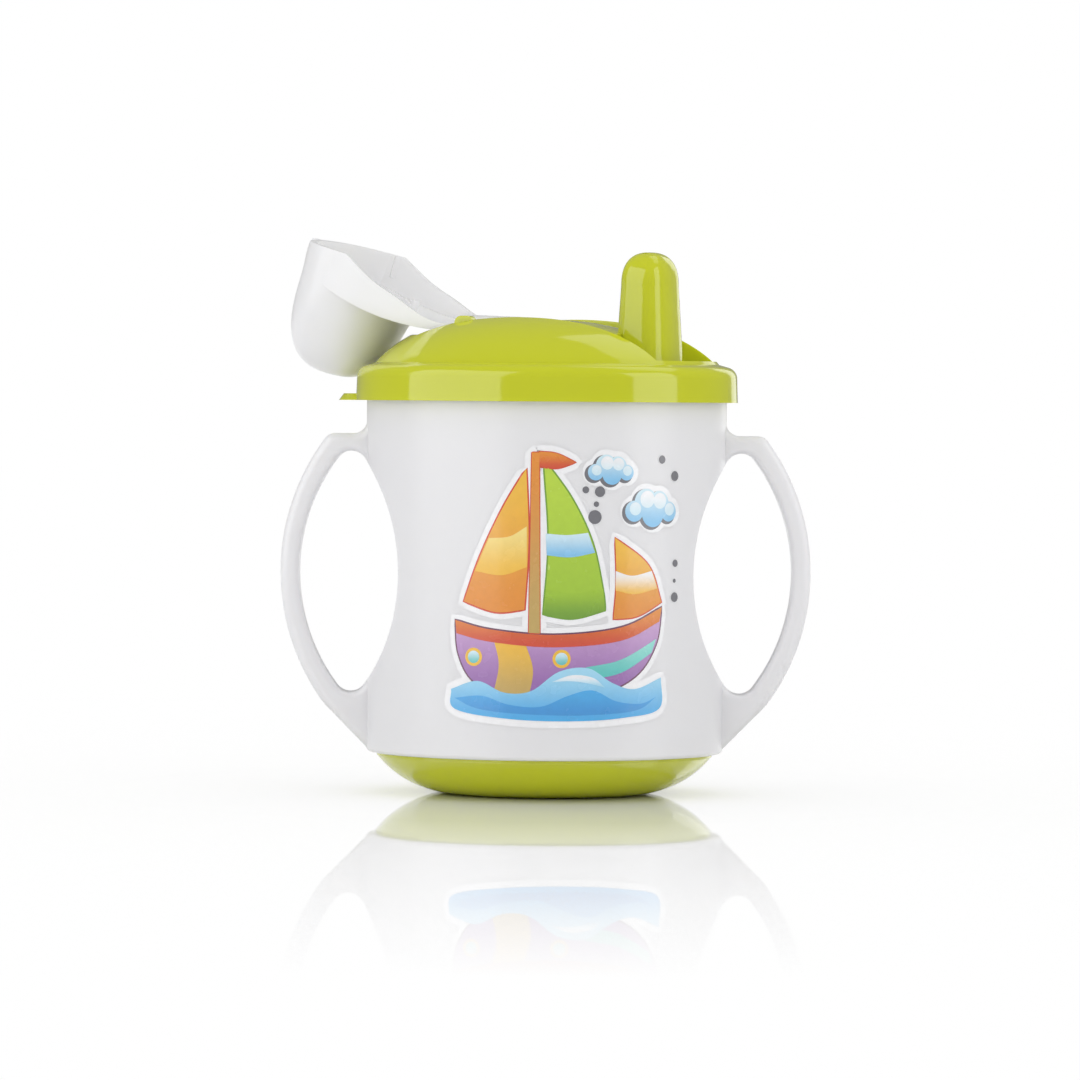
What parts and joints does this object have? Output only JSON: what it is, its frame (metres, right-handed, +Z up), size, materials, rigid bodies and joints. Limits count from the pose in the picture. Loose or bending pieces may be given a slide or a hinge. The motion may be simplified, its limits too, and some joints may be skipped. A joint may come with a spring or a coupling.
{
  "type": "sippy cup",
  "caption": "Toddler's training cup with side handles, a push-on spout lid and a hinged spout cover that is stored open.",
  "frame": {"origin": "middle of the bounding box at the height of the flat patch the cup stands on, on the cup's axis", "axes": "+Z up along the cup's axis; the handles lie along X; the printed side faces -Y; the spout stands on the line turned 20 degrees from +X towards -Y"},
  "size_m": [0.1176, 0.0848, 0.1235],
  "materials": {
    "clear_white_plastic": "milky translucent polypropylene, smooth",
    "lime_plastic": "glossy lime green polypropylene",
    "printed_film": null,
    "silicone": "soft translucent silicone"
  },
  "bodies": {
    "cup": {"cup_body": "clear_white_plastic", "base_cap": "lime_plastic", "decal_film": "printed_film"},
    "lid": {"lid": "lime_plastic", "lid_seal": "silicone", "spout_valve": "silicone"},
    "cover": {"spout_cover": "clear_white_plastic"}
  },
  "joints": [
    {"name": "lid_lift", "type": "slide", "parent": "cup", "child": "lid", "axis": [0, 0, 1], "range_m": [0, 0.06]},
    {"name": "cover_hinge", "type": "hinge", "parent": "lid", "child": "cover", "pos_m": [-0.01175, 0.00428, 0.104], "axis": [0.342, 0.9397, 0], "range_deg": [0, 165]}
  ]
}
